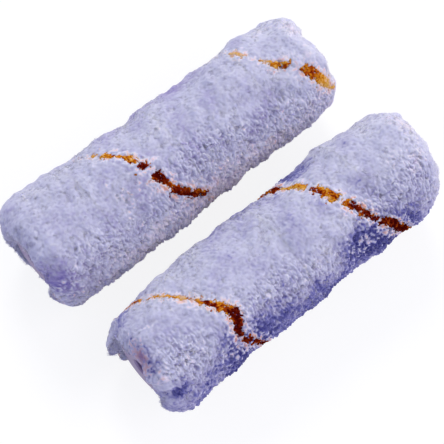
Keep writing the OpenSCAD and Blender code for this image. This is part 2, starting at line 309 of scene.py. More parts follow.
class Sleeve:
    """Maps (p, angle, n) to a point: p runs over the pile's section from the near mouth to the
    far mouth, angle goes round from +Y over the top, and n is the height above the pile."""

    def __init__(self, side):
        self.side = side
        self.seed = SIDES.index(side)
        core_low, core_high = (np.array(c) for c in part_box(side + "_core_tube"))
        backing_low, backing_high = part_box(side + "_backing_cloth")
        self.centre = (core_low + core_high) / 2
        self.radius = self.centre[2]
        self.core_half = (core_high[0] - core_low[0]) / 2
        self.half = self.core_half + OVERHANG
        self.backing_radius = (backing_high[2] - backing_low[2]) / 2
        self.make_section()
        self.creases = Waves(self.seed + SEED["curds"], CURD_SIZE, 64, CURD_STRETCH)
        self.humps = Waves(self.seed + SEED["humps"], HUMP_SIZE, 40)
        self.patchy = Waves(self.seed + SEED["matting"], 7 * MM)

    def make_section(self):
        """Points and normals along the section, and the length p of each."""
        turn = np.linspace(0, pi / 2, ARC_POINTS)
        shoulder = self.half - PILE_ROUND
        arc_s = -shoulder - PILE_ROUND * np.cos(turn)
        arc_r = self.radius - PILE_ROUND + PILE_ROUND * np.sin(turn)
        s = np.concatenate([[-self.core_half], arc_s])
        r = np.concatenate([[self.backing_radius], arc_r])
        s = np.concatenate([s, -s[::-1]])
        r = np.concatenate([r, r[::-1]])
        p = np.concatenate([[0], np.cumsum(np.hypot(np.diff(s), np.diff(r)))])
        self.length = p[-1]
        fine = np.linspace(0, self.length, SECTION_POINTS)
        self.p = fine - self.length / 2
        self.s = np.interp(fine, p, s)
        self.r = np.interp(fine, p, r)
        taper = np.hanning(TAPER)
        taper /= taper.sum()
        ds, dr = (np.convolve(np.pad(np.gradient(v), TAPER // 2, mode="edge"), taper, "valid")
                  for v in (self.s, self.r))
        size = np.hypot(ds, dr)
        self.ns = -dr / size
        self.nr = ds / size

    def bumps(self, s, angle):
        height = patches(BUMPS[self.side] + FOLDS[self.side], s, angle)
        for around, length, phase, high in LUMPS[self.side]:
            wave = around * angle + TURN * s / (length * MM) + radians(phase)
            height = height + high * np.cos(wave)
        return height * MM

    def curds(self, p, angle):
        """Round curds with narrow creases between them: 0 in a crease, 1 on top."""
        return np.minimum(np.abs(self.creases(p, angle)), CURD_TOP) / CURD_TOP

    def pushed(self, s, angle):
        """How far the pile near a mouth is moved along the sleeve."""
        moved = 0
        for end, at_angle, reach, back in PUSHED[self.side] + RIMS[self.side]:
            fade = smoothstep((PUSH_LENGTH + s * end - self.half) / PUSH_LENGTH)
            away = turned(angle - radians(at_angle)) / radians(reach)
            moved = moved - end * back * MM * fade * window(away)
        return moved

    def place(self, p, angle, n):
        s = np.interp(p, self.p, self.s)
        r = np.interp(p, self.p, self.r)
        curd = MATTED_CURD * (self.curds(p, angle) - CURD_MEAN) * matting(self, p, angle)
        up = n + self.bumps(s, angle) + HUMP * self.humps(p, angle) + curd
        push = self.pushed(s, angle)
        s = s + np.interp(p, self.p, self.ns) * up + push
        r = np.maximum(r + np.interp(p, self.p, self.nr) * up, LEAST_RADIUS)
        points = np.stack([s, r * np.cos(angle), r * np.sin(angle)], axis=-1) + self.centre
        points[..., 2] = np.maximum(points[..., 2], FLOOR_GAP)
        return points

    def find(self, point):
        """(p, angle) of a point on the pile."""
        away = point - self.centre
        angle = atan2(away[2], away[1])
        flat = np.hypot(self.s - away[0], self.r - hypot(away[1], away[2]))
        return self.p[np.argmin(flat)], angle

    def from_mouth(self, p):
        """Length along the section from the nearer mouth."""
        return self.length / 2 - np.abs(p)

    def inside(self, p, start, over):
        """0 near a mouth, up to a length from it, and 1 from another length further on."""
        return smoothstep((self.from_mouth(p) - start) / over)

    def shade(self, table, p, angle):
        """How much painted shade and light a table of patches puts on places on the pile."""
        return patches(table[self.side], np.interp(p, self.p, self.s), angle)

    def helix(self, wound):
        """p of the CAD's stripe at a wound angle, which grows by a turn per turn."""
        return STRIPE_TOP[self.side] + WIND_PITCH * (wound - TOP) / TURN

    def set_wander(self, tree):
        """Where the stripe leaves its helix, from the image points."""
        found = []
        for x, y in STRIPE_POINTS[self.side].values():
            p, angle = self.find(on_surface(tree, x, y))
            turn = round((p - self.helix(angle)) / WIND_PITCH)
            wound = angle + TURN * turn
            found.append((wound, p - self.helix(wound)))
        self.wander_at = np.array([f[0] for f in found])
        self.wander = np.array([f[1] for f in found])

    def stripe_look(self, wound):
        """Width and tone of the gold that shows at a wound angle. Beyond the image points the
        place in STRIPE_LOOK grows by 1 a radian."""
        place = np.interp(wound, self.wander_at, np.arange(len(self.wander_at)))
        place = place + np.minimum(wound - self.wander_at[0], 0)
        place = place + np.maximum(wound - self.wander_at[-1], 0)
        look = np.array(STRIPE_LOOK[self.side])
        row = np.searchsorted(look[:, 0], place, side="right") - 1
        row = np.clip(row, 0, len(look) - 1)
        return look[row, 1] * MM, look[row, 2]

    def from_stripe(self, p, angle):
        """Distance along the sleeve from the middle of the nearest turn of the stripe, and the
        width and tone of the gold that shows there."""
        wound = angle + TURN * np.round((p - self.helix(angle)) / WIND_PITCH)
        middle = self.helix(wound) + np.interp(wound, self.wander_at, self.wander)
        return p - middle, *self.stripe_look(wound)


# ---- where the pile is soft or matted, and where shade and light are painted on it

NEAR_MOUTH = 7 * MM  # over which the nap fades into the mouth's edge
SOFT_AT = radians(60)  # the pile is fluffiest round this angle
SOFT_REACH = radians(35)  # and that far to both sides of it
MATTED_OVER = radians(48)  # over which it grows fully matted beyond
MATTED_PATCHY = 0.25  # by how much that differs from place to place
# How far from a mouth something starts, and over how much more it grows to its full share:
MATTED_FROM = (6 * MM, 8 * MM)  # the matting
LOCKS_FROM = (0.5 * MM, 3 * MM)  # the height of the locks
PRONE_FROM = (1 * MM, 5 * MM)  # fibres that don't stand up as a fringe

# Painted shade and light on the pile: where its colour is made deeper to stand in for shade, or,
# below 0, paler to stand in for light, in the terms of BUMPS; the last is by how much.
PAINTED_SHADE_AND_LIGHT = {
    "rear": [(-52.5, 143, 7, 40, 0.48), (-54, 205, 7, 40, 0.4), (-54, 77, 6, 45, 0.12),
        (-50.5, 107, 3, 14, -0.25), (-45.5, 138, 3, 12, -0.3), (-43, 125, 10, 22, 0.12),
        (-45, 165, 12, 35, 0.15), (-17, 113, 11, 40, 0.14), (7, 125, 9, 25, 0.15),
        (31, 125, 9, 25, 0.2), (50, 90, 22, 200, -0.14), (5, 195, 80, 55, -0.4),
        (0, 162, 44, 30, -0.08), (0, 28, 44, 30, 0.25), (14, 28, 16, 30, 0.12)],
    "front": [(-50, 127, 4, 9, -0.4), (-50, 150, 6, 12, 0.4), (50, 90, 22, 90, -0.16),
        (-52, 95, 5, 50, 0.42), (2, 22, 36, 40, 0.35), (-45, 24, 14, 40, 0.3), (19, 30, 9, 25, 0.35),
        (31, 105, 10, 45, 0.12), (-42, 172, 14, 45, 0.28), (-54, 180, 6, 40, 0.25),
        (-22, 165, 20, 50, 0.6), (-27, 168, 9, 50, 0.35), (-11, 154, 7, 14, 0.3),
        (0, 172, 14, 42, 0.45), (8, 188, 9, 36, 0.3), (21, 156, 14, 40, 0.9), (33, 176, 13, 60, 0.75),
        (-30, 210, 40, 42, 0.37), (10, 206, 30, 42, 0.38)],
}
# Painted mauve shade on the pile, in the mouths' hollows and other shaded places, in the same
# terms; the last is the share that has it.
PAINTED_MAUVE_SHADE = {
    "rear": [(-50, 165, 6, 26, 0.3), (-17, 118, 11, 30, 0.3), (2, 160, 14, 36, 0.2),
        (24, 150, 14, 30, 0.12)],
    "front": [(-52, 97, 5, 45, 1.0), (-46, 82, 6, 20, 0.15), (-28, 150, 8, 25, 0.3),
        (20, 152, 8, 25, 0.3)],
}


def matting(sleeve, p, angle):
    """0 where the pile is soft and even, 1 where it has matted into separate curly locks."""
    away = np.abs(turned(angle - SOFT_AT)) - SOFT_REACH
    patchy = MATTED_PATCHY * sleeve.patchy(p, angle)
    return smoothstep(away / MATTED_OVER + patchy) * sleeve.inside(p, *MATTED_FROM)


def plain_tree(sleeve):
    """A BVHTree of the pile without its locks and fibres."""
    rings, around = 60, 72
    p = np.linspace(-sleeve.length / 2, sleeve.length / 2, rings)[:, None]
    angle = np.linspace(0, TURN, around, endpoint=False)[None, :]
    points = sleeve.place(p, angle, np.zeros((rings, around))).reshape(-1, 3)
    return BVHTree.FromPolygons(points.tolist(), grid_faces(rings, around).tolist())


# ---- the body of the pile

RELIEF_STEP = 0.2 * MM  # between the points of the pile's body
SHELL_PARTS = 4  # pieces that the white body is split into
RELIEF_SOFT = 0.50 * MM  # height of the locks where the pile is soft
RELIEF_MATTED = 1.0 * MM  # and where it is matted
WHITE_UNDER_GOLD = 0.5 * MM
GOLD_UNDER_WHITE = 0.35 * MM
GOLD_DEPTH = 1.0 * MM  # thickness of the gold pile's body

# Locks are the curls that the pile has matted into. Widths and lengths are in mm; a height of
# 1 is RELIEF_SOFT or RELIEF_MATTED.
LOCKS = 42000  # white ones on one sleeve
LOCK_WIDTH = (0.22, 0.30)  # where the pile is soft, and where it is matted
LOCK_LENGTH = (0.8, 1.8)  # least and most
LOCK_LEVEL = (0, 0.45)  # least and most height of its ends
GOLD_LOCKS = 80000  # tried all over a sleeve; those in the stripe are kept
GOLD_WIDTH, GOLD_LENGTH, GOLD_LEVEL = (0.22, 0.32), (0.4, 1.1), (0.15, 0.5)
LOCK_STEPS = 9  # points along one lock
LOCK_ROWS = 2  # of the body's points that a lock covers to both sides along it
LOCK_REACH = 4  # and round it
LOCK_RISE = 0.55  # height of the middle of a lock over its level
CROSSING = 0.30  # how much lower a lock is where it runs over the other colour
BARE_HEIGHT = 0.1  # of the body where no lock lies
COMBED = 1.2  # radians that the locks' direction changes from place to place
COMBED_SIZE = 6 * MM
LOCK_SPREAD = 0.9  # radians between neighbours
CURL = 2.6  # radians that a lock turns at most
MEAN_HEIGHT = 0.55  # of the locks, which leaves the pile as thick as it is

WHITE_TONE = 0.56  # mean tone of the white pile
TONE_SIZE = 3 * MM  # of patches a little darker or paler than that
PINK_TONE = 0.9  # tone of white pile under the painted mauve shade
DARKEST = 0.02  # and of the deepest painted blue shade on the pile
PALEST, PEACH = 0.80, 1.0  # tones of the palest white pile and of the painted warm bounce light from the gold
SPECKLE = (0.07, 0.13)  # spread of the tones where soft, and where matted or under painted shade
HALO = 2.1 * MM  # reach of the painted warm bounce light from the gold on the white pile
HALO_SHARE = 0.8  # of the locks next to the gold that take it
HALO_WEAKEST = 0.6  # strength beside the palest gold
LOST_STRIPE = 1.0 * MM  # where no gold shows, pile counts as that far from its edge
WHITE_IN_GOLD = (0.45, 0.2)  # share of white locks left in the darkest gold and in other gold
EDGE_RAGGED = 0.35 * MM  # how far the gold's edge runs to and fro
EDGE_LOOSE = 0.15 * MM  # and differs from lock to lock
STRAYS = 0.1  # share of the locks that stray across it
STRAY_REACH = 0.6 * MM  # how far
GOLD_RIM = 0.22  # how much paler gold is at its edge
GOLD_RIM_REACH = 0.6 * MM
GOLD_MOTTLE = 0.16  # how much its tone differs from place to place
UV_STEP = 0.004  # spreads tones that are the same, so that no UV face is flat
UV_LOW, UV_HIGH = 0.02, 0.98


def in_stripe(sleeve, rng, p, angle):
    """Which of the locks are gold, their distance from the gold's edge, and the gold's tone
    there, which is partly painted shade and light.
    """
    off, width, shade = sleeve.from_stripe(p, angle)
    edge = Waves(SEED["edge"], 0.7 * MM)(p, angle)
    ragged = EDGE_LOOSE * rng.normal(0, 1, len(p)) + EDGE_RAGGED * edge
    stray = STRAY_REACH * rng.exponential(1, len(p))
    ragged = ragged + stray * (rng.uniform(size=len(p)) < STRAYS)
    inside = (width / 2 - np.abs(off) + ragged > 0) & (width > 0)
    inside &= sleeve.from_mouth(p) > NEAR_MOUTH / 2
    beside = np.where(width > 0, np.abs(off) - width / 2, np.abs(off) + LOST_STRIPE)
    return inside, np.maximum(beside, -width / 2), shade


def painted_gold_bounce_tone(rng, beside, shade, tone):
    """The tones of white pile at a distance from the gold, where some of it has a painted warm
    tint that stands in for light bounced from the gold and for highlights.
    """
    near = np.exp(-(np.maximum(beside, 0) / HALO) ** 2)
    much = near * blend(1.0, HALO_WEAKEST, shade) + rng.normal(0, 0.15, len(tone))
    bounce_tinted = blend(PALEST, PEACH, np.clip(much, 0.1, 1))
    return np.where(rng.uniform(size=len(tone)) < HALO_SHARE * near, bounce_tinted, tone)


def white_locks(sleeve, rng):
    """Root, level, tone, width, length and colour group of the white locks."""
    p = rng.uniform(-0.5, 0.5, LOCKS) * sleeve.length
    angle = rng.uniform(0, TURN, LOCKS)
    mat = matting(sleeve, p, angle)
    # painted shade, and below 0 painted light, from the table of patches
    painted_light_and_shade = sleeve.shade(PAINTED_SHADE_AND_LIGHT, p, angle)
    speckle = blend(*SPECKLE, np.maximum(mat, np.clip(3 * painted_light_and_shade, 0, 1)))
    tone = WHITE_TONE + 0.06 * Waves(SEED["tone"], TONE_SIZE)(p, angle) - painted_light_and_shade
    tone = np.clip(tone + rng.normal(0, 1, LOCKS) * speckle, DARKEST, PALEST)
    # locks that take the painted mauve shade
    painted_mauve = rng.uniform(size=LOCKS) < sleeve.shade(PAINTED_MAUVE_SHADE, p, angle)
    tone = np.where(painted_mauve, PINK_TONE + rng.normal(0, 0.02, LOCKS), tone)
    inside, beside, shade = in_stripe(sleeve, rng, p, angle)
    tone = painted_gold_bounce_tone(rng, beside, shade, tone)
    wide = rng.uniform(0.8, 1.25, LOCKS) * blend(*LOCK_WIDTH, mat) * MM
    length = rng.uniform(*LOCK_LENGTH, LOCKS) * MM
    level = rng.uniform(*LOCK_LEVEL, LOCKS)
    left = blend(*WHITE_IN_GOLD, np.minimum(3 * shade, 1))
    kept = ~inside | (rng.uniform(size=LOCKS) < left)
    return np.stack([p, angle, level, tone, wide, length, 0 * p])[:, kept]


def gold_locks(sleeve, rng):
    """The same of the gold locks."""
    p = rng.uniform(-0.5, 0.5, GOLD_LOCKS) * sleeve.length
    angle = rng.uniform(0, TURN, GOLD_LOCKS)
    inside, beside, shade = in_stripe(sleeve, rng, p, angle)
    rim = GOLD_RIM * smoothstep(1 + beside / GOLD_RIM_REACH)
    uneven = blend(0.75, 1.0, np.minimum(2 * shade, 1))
    mottle = GOLD_MOTTLE * Waves(SEED["gold"], 0.8 * MM, 50)(p, angle)
    tone = shade + uneven * (rim + (mottle + rng.normal(0, 0.13, GOLD_LOCKS)))
    wide = rng.uniform(*GOLD_WIDTH, GOLD_LOCKS) * MM
    length = rng.uniform(*GOLD_LENGTH, GOLD_LOCKS) * MM
    level = rng.uniform(*GOLD_LEVEL, GOLD_LOCKS)
    return np.stack([p, angle, level, tone, wide, length, 0 * p + 1])[:, inside]


class Relief:
    """Curly locks lying over each other: their height, tone and colour at the body's points."""

    def __init__(self, sleeve, rng):
        self.sleeve = sleeve
        rows = int(sleeve.length / RELIEF_STEP)
        around = int(TURN * sleeve.radius / RELIEF_STEP)
        self.p, self.step = np.linspace(-0.5, 0.5, rows, retstep=True)
        self.p, self.step = self.p * sleeve.length, self.step * sleeve.length
        self.angle = np.arange(around) * TURN / around
        locks = np.concatenate([white_locks(sleeve, rng), gold_locks(sleeve, rng)], axis=1)
        p, angle, level, tone, wide, length, gold = locks
        p, angle, r = self.paths(p, angle, length, rng)
        t = np.linspace(0, 1, LOCK_STEPS)[None, :]
        lift = LOCK_RISE * np.sin(pi * (0.06 + 0.88 * t)) ** 0.7
        off, width = sleeve.from_stripe(p, angle)[:2]
        in_gold = np.abs(off) < width / 2
        level = level[:, None] - CROSSING * (in_gold != (gold[:, None] > 0.5))
        cell, value, owner = self.cover(p, angle, r, level, lift, wide)
        order = np.argsort(value, kind="stable")
        height = np.full(rows * around, BARE_HEIGHT)
        height[cell[order]] = value[order]
        owned = np.full(rows * around, -1)
        owned[cell[order]] = owner[order]
        bare = owned < 0
        tone = np.where(bare, 0.5, tone[owned]).reshape(rows, around)
        self.gold = (np.where(bare, 0, gold[owned]) > 0.5).reshape(rows, around)
        self.soften(height.reshape(rows, around), tone)

    def paths(self, p0, angle0, length, rng):
        """Points along the locks, and the sleeve's radius at them."""
        count = len(p0)
        combed = COMBED * Waves(SEED["lean"], COMBED_SIZE)(p0, angle0)
        heading = combed + rng.normal(0, LOCK_SPREAD, count)
        bend = rng.uniform(-CURL, CURL, count)
        facing = heading[:, None] + bend[:, None] * np.linspace(0, 1, LOCK_STEPS)
        step = length[:, None] / LOCK_STEPS
        p = p0[:, None] + np.cumsum(np.sin(facing) * step, axis=1)
        r = np.interp(p, self.sleeve.p, self.sleeve.r)
        return p, angle0[:, None] + np.cumsum(np.cos(facing) * step, axis=1) / r, r

    def cover(self, p, angle, r, level, lift, wide):
        """The body's points under the locks, the locks' height there, and which lock it is."""
        rows, around = len(self.p), len(self.angle)
        row = np.round((p - self.p[0]) / self.step).astype(int)
        column = np.round(angle / self.angle[1]).astype(int)
        found = []
        for i in range(-LOCK_ROWS, LOCK_ROWS + 1):
            for j in range(-LOCK_REACH, LOCK_REACH + 1):
                k, l = row + i, column + j
                off_p = self.p[0] + k * self.step - p
                off_a = (l * self.angle[1] - angle) * r
                far = (off_p ** 2 + off_a ** 2) / wide[:, None] ** 2
                inside = (far < 1) & (k >= 0) & (k < rows)
                value = (level + lift * (1 - far))[inside]
                owner = np.broadcast_to(np.arange(len(p))[:, None], k.shape)[inside]
                found.append(((k * around + l % around)[inside], value, owner))
        return [np.concatenate(part) for part in zip(*found)]

    def soften(self, height, tone):
        """Rounds the locks off, more so where the pile is soft, and keeps the body's height n
        and its UVs: the tone, and the painted shade, which is deepest low among the locks, in the
        creases between the curds and under the painted mauve shade."""
        p, angle = np.meshgrid(self.p, self.angle, indexing="ij")
        mat = matting(self.sleeve, p, angle)
        smooth = box_blur(height)
        height = blend(blend(box_blur(smooth), smooth, 0.5), height, 0.55 * mat)
        tone = np.where(self.gold, tone, box_blur(tone))
        tone = tone + UV_STEP * np.sin(2.4 * np.arange(len(self.angle)))[None, :]
        self.n = blend(RELIEF_SOFT, RELIEF_MATTED, mat) * (height - MEAN_HEIGHT)
        self.n = self.n * self.sleeve.inside(p, *LOCKS_FROM)
        # the creases between the curds get painted shade
        crease_for_painted_shade = np.minimum(2.5 * self.sleeve.curds(p, angle), 1)
        painted_light_level = blend(0.5 + 0.5 * height, height * blend(0.35, 1, crease_for_painted_shade), mat)
        # full painted shade under the painted mauve shade
        painted_light_level = painted_light_level * (1 - np.minimum(self.sleeve.shade(PAINTED_MAUVE_SHADE, p, angle), 1))
        self.uvs = np.clip(np.stack([tone, painted_light_level], axis=-1), UV_LOW, UV_HIGH)

    def place(self, sunk, rows):
        """The body's points in a slice of rows, sunk by an array of depths."""
        n = self.n[rows] - sunk[rows]
        p, angle = np.meshgrid(self.p[rows], self.angle, indexing="ij")
        return self.sleeve.place(p, angle, n)


def box_blur(values):
    """Mean of each value and its eight neighbours, closed in the second direction."""
    rows = np.pad(values, ((1, 1), (0, 0)), mode="edge")
    rows = (rows[:-2] + rows[1:-1] + rows[2:]) / 3
    return (rows + np.roll(rows, 1, axis=1) + np.roll(rows, -1, axis=1)) / 3


def make_white_body(sleeve, relief):
    """Closed rings of the white pile, with the tone of its locks and their painted shade as UV."""
    around = len(relief.angle)
    inner = np.stack([0 * relief.angle, np.cos(relief.angle), np.sin(relief.angle)], axis=-1)
    inner = inner * sleeve.backing_radius
    parts = []
    cuts = np.linspace(0, len(relief.p) - 1, SHELL_PARTS + 1).astype(int)
    for k in range(SHELL_PARTS):
        rows = slice(cuts[k], cuts[k + 1] + 1)
        outer = relief.place(WHITE_UNDER_GOLD * relief.gold, rows)
        ends = [inner + [outer[row, :, 0].mean(), *sleeve.centre[1:]] for row in (0, -1)]
        uvs = relief.uvs[rows]
        lining = np.stack([outer[-1], ends[1], ends[0], outer[0]])
        points = np.concatenate([outer, lining])
        uvs = np.concatenate([uvs, uvs[-1:], uvs[-1:], uvs[:1], uvs[:1]])
        skin = grid_faces(len(outer), around)
        back = grid_faces(len(lining), around) + len(outer) * around
        parts.append(new_piece(f"{sleeve.side}_pile_body_{k + 1}", points.reshape(-1, 3),
                               [skin, back], uvs.reshape(-1, 2)))
    return parts


def make_gold_body(name, sleeve, relief):
    """Closed islands of gold pile."""
    rows, around = relief.gold.shape
    sunk = (GOLD_UNDER_WHITE * ~relief.gold, np.full(relief.gold.shape, GOLD_DEPTH))
    top, low = (relief.place(depth, slice(None)).reshape(-1, 3) for depth in sunk)
    faces = grid_faces(rows, around)
    faces = faces[relief.gold.ravel()[faces].any(axis=1)]
    edges = np.stack([faces, np.roll(faces, -1, axis=1)], axis=-1).reshape(-1, 2)
    total = rows * around
    keys = edges[:, 0] * total + edges[:, 1]
    rim = edges[~np.isin(keys, edges[:, 1] * total + edges[:, 0])]
    walls = np.stack([rim[:, 1], rim[:, 0], rim[:, 0] + total, rim[:, 1] + total], axis=-1)
    faces = np.concatenate([faces, faces[:, ::-1] + total, walls])
    used, faces = np.unique(faces, return_inverse=True)
    points = np.concatenate([top, low])[used]
    uvs = np.concatenate([relief.uvs.reshape(-1, 2)] * 2)[used]
    return new_piece(name, points, [faces.reshape(-1, 4)], uvs)


# ---- fibres

TUFT_PITCH = 1.25 * MM  # between the white tufts
GOLD_PITCH = 0.7 * MM  # and the gold ones
FIBRES = 4  # in one tuft
FIBRE_STEPS = 5  # points along one fibre
FIBRE_SIDES = 3
FIBRE_R = 0.07 * MM


def tuft_roots(sleeve, rng, pitch):
    """(p, angle) of tufts spread evenly over the pile."""
    found = []
    for p in np.arange(-sleeve.length / 2 + pitch / 2, sleeve.length / 2, pitch):
        r = np.interp(p, sleeve.p, sleeve.r)
        count = int(TURN * r / pitch)
        angle = (np.arange(count) + rng.uniform()) * TURN / count
        angle = angle + rng.uniform(-0.45, 0.45, count) * pitch / r
        found.append(np.stack([p + rng.uniform(-0.45, 0.45, count) * pitch, angle], axis=-1))
    return np.concatenate(found).T


def fibre_lines(sleeve, p0, angle0, rng, reach=1.0, sink=0.0):
    """Middle lines of all fibres of the given tufts, and each fibre's tone and radius."""
    tufts = len(p0)
    mat = matting(sleeve, p0, angle0)
    combed = COMBED * Waves(SEED["lean"], COMBED_SIZE)(p0, angle0)
    lean = combed + rng.normal(0, 1, tufts) * blend(0.9, 1.4, mat)
    patch = Waves(SEED["tone"], TONE_SIZE)(p0, angle0)
    lock = Waves(sleeve.seed + SEED["tufts"], 0.75 * MM, 60)(p0, angle0)
    phase = rng.uniform(0, TURN, tufts)
    turns = rng.uniform(0.7, 1.4, tufts)
    run = reach * rng.uniform(0.8, 1.8, tufts) * MM
    width = rng.uniform(0.3, 0.5, tufts) * MM * blend(1.0, 1.3, mat)
    high = rng.normal(-0.05, 0.08, tufts) * MM + 0.10 * MM * patch + 0.10 * MM * mat * lock
    # the table of patches paints shade by lowering the tone, and light by raising it
    tone = WHITE_TONE + 0.08 * patch + 0.12 * lock * mat - sleeve.shade(PAINTED_SHADE_AND_LIGHT, p0, angle0)
    spread = blend(0.42, 0.17, mat) * MM

    def each(values, spread=0.0):
        """A tuft's values for each of its fibres, which differ by a spread."""
        return np.repeat(values, FIBRES) + rng.normal(0, 1, tufts * FIBRES) * spread

    spread = np.repeat(spread, FIBRES)
    loose = np.repeat(1 - mat, FIBRES)
    p0, angle_start = each(p0, spread), each(angle0, spread / sleeve.radius)
    lean, phase = each(lean, 0.2 + 0.3 * loose), each(phase, 0.35 + 1.2 * loose)
    turns, run, width = each(turns, 0.1), each(run, 0.3 * MM), each(width, 0.08 * MM)
    high, tone = each(high, 0.08 * MM) - sink, each(tone, 0.07)
    fringe = 1 - sleeve.inside(p0, *PRONE_FROM)
    high = high + fringe * rng.uniform(0.2, 1.2, len(p0)) * MM
    t = np.linspace(0, 1, FIBRE_STEPS)[None, :]
    col = (slice(None), None)
    swing = TURN * turns[col] * t + phase[col]
    sway = width[col] * t ** 0.7 * (np.sin(swing) - np.sin(phase[col]))
    along = run[col] * t ** 1.1
    dp = np.sin(lean)[col] * along + np.cos(lean)[col] * sway
    da = np.cos(lean)[col] * along - np.sin(lean)[col] * sway
    nap = NAP * blend(SOFT_NAP, 1.0, matting(sleeve, p0, angle_start))
    nap = (nap * sleeve.inside(p0, 0, NEAR_MOUTH))[col]
    tucked = np.repeat(blend(0.25, 0.55, mat), FIBRES)[col]
    rise = smoothstep(t / 0.45) - tucked * smoothstep((t - 0.45) / 0.55)
    n = -nap + (nap + high[col]) * rise
    n = n + 0.35 * width[col] * t * np.cos(swing)
    p = np.clip(p0[col] + dp, -sleeve.length / 2, sleeve.length / 2)
    r = np.interp(p, sleeve.p, sleeve.r)
    lines = sleeve.place(p, angle_start[col] + da / r, n)
    radius = FIBRE_R * blend(1.15, 0.85, loose) * rng.uniform(0.75, 1.25, len(tone))
    return lines, np.clip(tone, DARKEST, PALEST), radius


def tubes(lines, radius):
    """Points and faces of thin closed tubes along lines, thickest near the middle."""
    count, steps = lines.shape[:2]
    along = np.gradient(lines, axis=1)
    along /= np.linalg.norm(along, axis=-1, keepdims=True) + 1e-12
    out = np.cross(along, [0.31, 0.52, 0.79])
    out /= np.linalg.norm(out, axis=-1, keepdims=True) + 1e-12
    other = np.cross(along, out)
    t = np.linspace(0, 1, steps)[None, :, None]
    thick = radius[:, None, None] * (0.35 + 0.65 * np.sin(pi * (0.12 + 0.80 * t)))
    rings = []
    for k in range(FIBRE_SIDES):
        a = TURN * k / FIBRE_SIDES
        rings.append(lines + thick * (cos(a) * out + sin(a) * other))
    points = np.stack(rings, axis=2).reshape(-1, 3)
    base = (np.arange(count) * steps * FIBRE_SIDES)[:, None]
    side = grid_faces(steps, FIBRE_SIDES)
    quads = (base[:, :, None] + side[None]).reshape(-1, 4)
    last = (steps - 1) * FIBRE_SIDES
    caps = np.concatenate([base + [[2, 1, 0]], base + [[last, last + 1, last + 2]]])
    return points, [quads, caps]


def make_tufts(name, lines, tone, radius):
    """One piece of fibres, with their tone and the place from root to tip as UV."""
    points, faces = tubes(lines, radius)
    count, steps = lines.shape[:2]
    u = tone[:, None, None] + np.arange(FIBRE_SIDES)[None, None, :] * UV_STEP
    u = np.broadcast_to(u, (count, steps, FIBRE_SIDES))
    v = np.linspace(0.01, 0.99, steps)[None, :, None]
    v = np.broadcast_to(v, u.shape)
    return new_piece(name, points, faces, np.stack([u.ravel(), v.ravel()], axis=-1))


# ---- the knitted backing

KNIT_WALES = 96  # ribs round the backing
KNIT_COURSE = 0.7 * MM  # length of one row of stitches
KNIT_RELIEF = 0.05 * MM
KNIT_STEP = 1.0 * MM


def make_knit(name, sleeve):
    """The backing cloth as a knitted tube whose cut edges show in the mouths."""
    low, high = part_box(sleeve.side + "_backing_cloth")
    film_low, film_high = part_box(sleeve.side + "_glue_film")
    inner = (film_high[2] - film_low[2]) / 2 + KNIT_RELIEF
    outer = (high[2] - low[2]) / 2 - KNIT_RELIEF
    half = (high[0] - low[0]) / 2 - 2 * KNIT_RELIEF
    around = KNIT_WALES * 4
    s = np.linspace(-half, half, int(2 * half / KNIT_STEP))
    s = np.concatenate([s, s[::-1]])
    r = np.concatenate([np.full(len(s) // 2, outer), np.full(len(s) // 2, inner)])
    angle = np.linspace(0, TURN, around, endpoint=False)
    s, angle = np.meshgrid(s, angle, indexing="ij")
    rib = np.cos(KNIT_WALES * angle)
    course = np.cos(TURN * s / KNIT_COURSE)
    radius = r[:, None] + KNIT_RELIEF * rib * (0.7 + 0.3 * course)
    ends = np.abs(s) > half - KNIT_STEP / 2
    s = s + np.sign(s) * ends * KNIT_RELIEF * 2 * rib
    points = np.stack([s, radius * np.cos(angle), radius * np.sin(angle)], axis=-1)
    points = points.reshape(-1, 3) + (np.array(low) + np.array(high)) / 2
    return new_piece(name, points, [grid_faces(len(r), around, closed_along=True)])


# ---- materials

# Colours of the painted shade at the roots of the locks and fibres, and in the creases.
WHITE_ROOT_PAINTED_SHADE = (0.26, 0.18, 0.44, 1)
GOLD_ROOT_PAINTED_SHADE = (0.18, 0.05, 0.04, 1)
# How far up a lock or fibre, 0 to 1, and the share of the painted shade colour there.
PAINTED_SHADE_SHARE = [(0.0, 1.0), (0.06, 0.55), (0.45, 0.18), (0.85, 0.0)]


def srgb(r, g, b):
    """A colour as it shows, 0 to 255, in the linear values that Blender takes."""
    def linear(c):
        c = c / 255
        return c / 12.92 if c <= 0.04045 else ((c + 0.055) / 1.055) ** 2.4
    return (linear(r), linear(g), linear(b), 1.0)


def set_inputs(tree, node, values):
    """Sets a node's inputs by name, each to a value or linked to another node's output."""
    for name, value in values.items():
        if isinstance(value, bpy.types.NodeSocket):
            tree.links.new(value, node.inputs[name])
        else:
            node.inputs[name].default_value = value


def add_node(tree, kind, values, **settings):
    node = tree.nodes.new("ShaderNode" + kind)
    for name, value in settings.items():
        setattr(node, name, value)
    set_inputs(tree, node, values)
    return node


def new_material(name, values):
    material = bpy.data.materials.new(name)
    material.use_nodes = True
    tree = material.node_tree
    shader = tree.nodes["Principled BSDF"]
    set_inputs(tree, shader, values)
    return material, tree, shader


def add_ramp(tree, source, stops):
    ramp = add_node(tree, "ValToRGB", {"Fac": source})
    elements = ramp.color_ramp.elements
    while len(elements) < len(stops):
        elements.new(0.5)
    for element, (at, colour) in zip(elements, stops):
        element.position = at
        element.color = colour
    return ramp.outputs["Color"]


